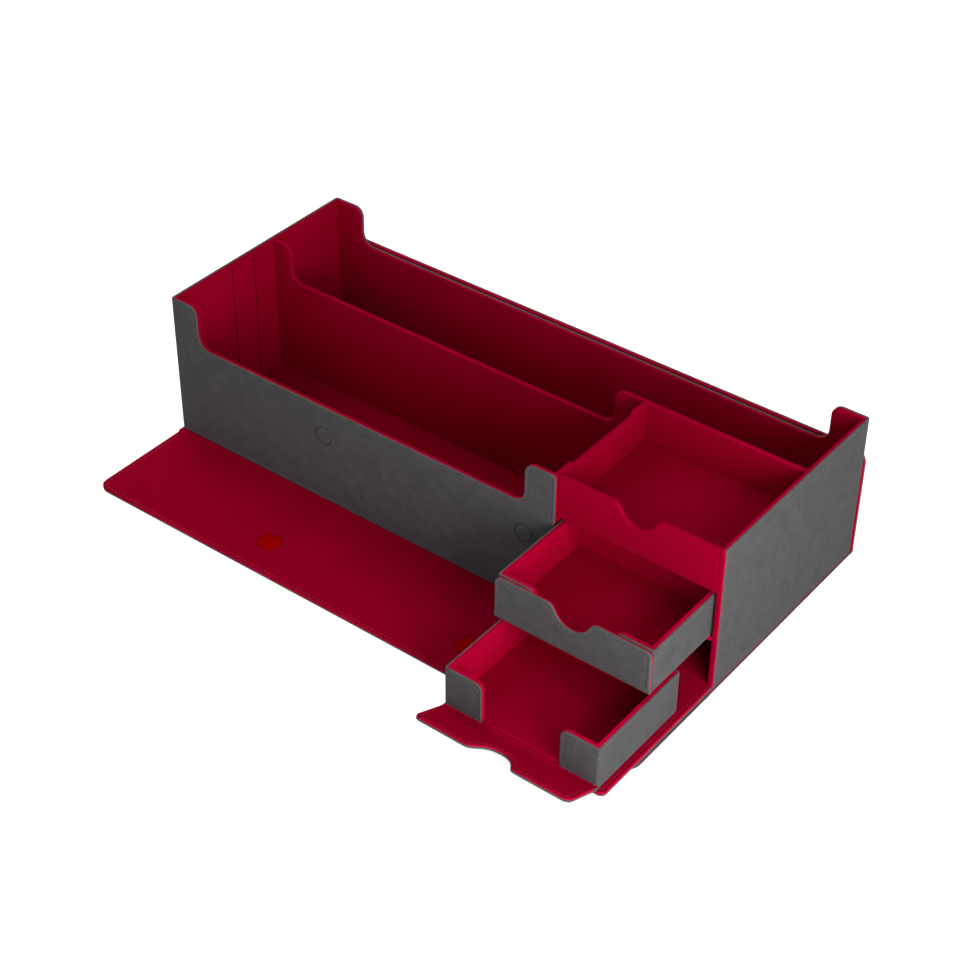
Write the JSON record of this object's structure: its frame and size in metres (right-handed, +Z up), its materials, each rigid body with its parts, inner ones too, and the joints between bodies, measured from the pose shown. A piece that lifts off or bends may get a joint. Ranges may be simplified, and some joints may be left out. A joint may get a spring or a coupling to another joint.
{
  "type": "card storage box",
  "caption": "Long lidded card storage box with card wells, a dice tray, pull-out card drawers behind a fold-down door, and a reversible folding cover under it.",
  "frame": {"origin": "on the surface that the box stands on, under the middle of the box's footprint", "axes": "+X to the right along the long side, +Y towards the back wall, +Z up; the drawers open towards -Y"},
  "size_m": [0.4304, 0.3076, 0.1086],
  "materials": {
    "grey_suede": "matt brushed suede cloth on board",
    "red_lining": "matt microfibre lining",
    "magnet": "plated disc"
  },
  "bodies": {
    "cover": {"cover_base": "grey_suede", "cover_base_lining": "red_lining", "cover_front_hinge": "grey_suede", "cover_back_hinge": "grey_suede"},
    "cover_front_flap": {"cover_front_flap": "grey_suede", "cover_front_flap_lining": "red_lining", "cover_front_magnets": "magnet"},
    "cover_back_flap": {"cover_back_flap": "grey_suede", "cover_back_flap_lining": "red_lining", "cover_back_magnets": "magnet"},
    "box": {"floor_board": "grey_suede", "floor_lining": "red_lining", "front_wall": "grey_suede", "front_wall_lining": "red_lining", "back_wall": "grey_suede", "back_wall_lining": "red_lining", "left_end_wall": "grey_suede", "left_end_lining": "red_lining", "right_end_wall": "grey_suede", "right_end_lining": "red_lining", "divider": "red_lining", "bay_side_wall": "red_lining", "drawer_shelf": "red_lining", "dice_tray_floor": "red_lining", "dice_tray_front": "red_lining", "front_wall_magnets": "magnet", "back_wall_magnets": "magnet", "bay_door_hinge": "grey_suede"},
    "bay_door": {"bay_door": "grey_suede", "bay_door_lining": "red_lining"},
    "upper_drawer": {"upper_drawer_tray": "grey_suede", "upper_drawer_lining": "red_lining", "upper_drawer_hinge": "grey_suede"},
    "upper_drawer_flap": {"upper_drawer_flap": "grey_suede", "upper_drawer_flap_lining": "red_lining"},
    "lower_drawer": {"lower_drawer_tray": "grey_suede", "lower_drawer_lining": "red_lining", "lower_drawer_hinge": "grey_suede"},
    "lower_drawer_flap": {"lower_drawer_flap": "grey_suede", "lower_drawer_flap_lining": "red_lining"}
  },
  "joints": [
    {"name": "box_lift", "type": "slide", "parent": "cover", "child": "box", "axis": [0, 0, 1], "range_m": [0, 0.3]},
    {"name": "cover_front_fold", "type": "hinge", "parent": "cover", "child": "cover_front_flap", "pos_m": [0, -0.0856, 0.0013], "axis": [-1, 0, 0], "range_deg": [0, 90]},
    {"name": "cover_back_fold", "type": "hinge", "parent": "cover", "child": "cover_back_flap", "pos_m": [0, 0.0856, 0.0013], "axis": [-1, 0, 0], "range_deg": [0, 90]},
    {"name": "bay_door_fold", "type": "hinge", "parent": "box", "child": "bay_door", "pos_m": [0.1569, -0.0827, 0.0039], "axis": [1, 0, 0], "range_deg": [0, 90]},
    {"name": "upper_drawer_slide", "type": "slide", "parent": "box", "child": "upper_drawer", "axis": [0, 1, 0], "range_m": [-0.015, 0.0636]},
    {"name": "lower_drawer_slide", "type": "slide", "parent": "box", "child": "lower_drawer", "axis": [0, 1, 0], "range_m": [0, 0.1137]},
    {"name": "upper_drawer_flap_fold", "type": "hinge", "parent": "upper_drawer", "child": "upper_drawer_flap", "pos_m": [0.1551, -0.1431, 0.044], "axis": [1, 0, 0], "range_deg": [0, 90]},
    {"name": "lower_drawer_flap_fold", "type": "hinge", "parent": "lower_drawer", "child": "lower_drawer_flap", "pos_m": [0.1551, -0.1932, 0.0068], "axis": [1, 0, 0], "range_deg": [-65.4, 24.6]}
  ],
  "couplings": [
    {"joint": "cover_front_fold", "follows": "box_lift", "rad_per_m": 5.236},
    {"joint": "bay_door_fold", "follows": "box_lift", "rad_per_m": 5.236}
  ]
}
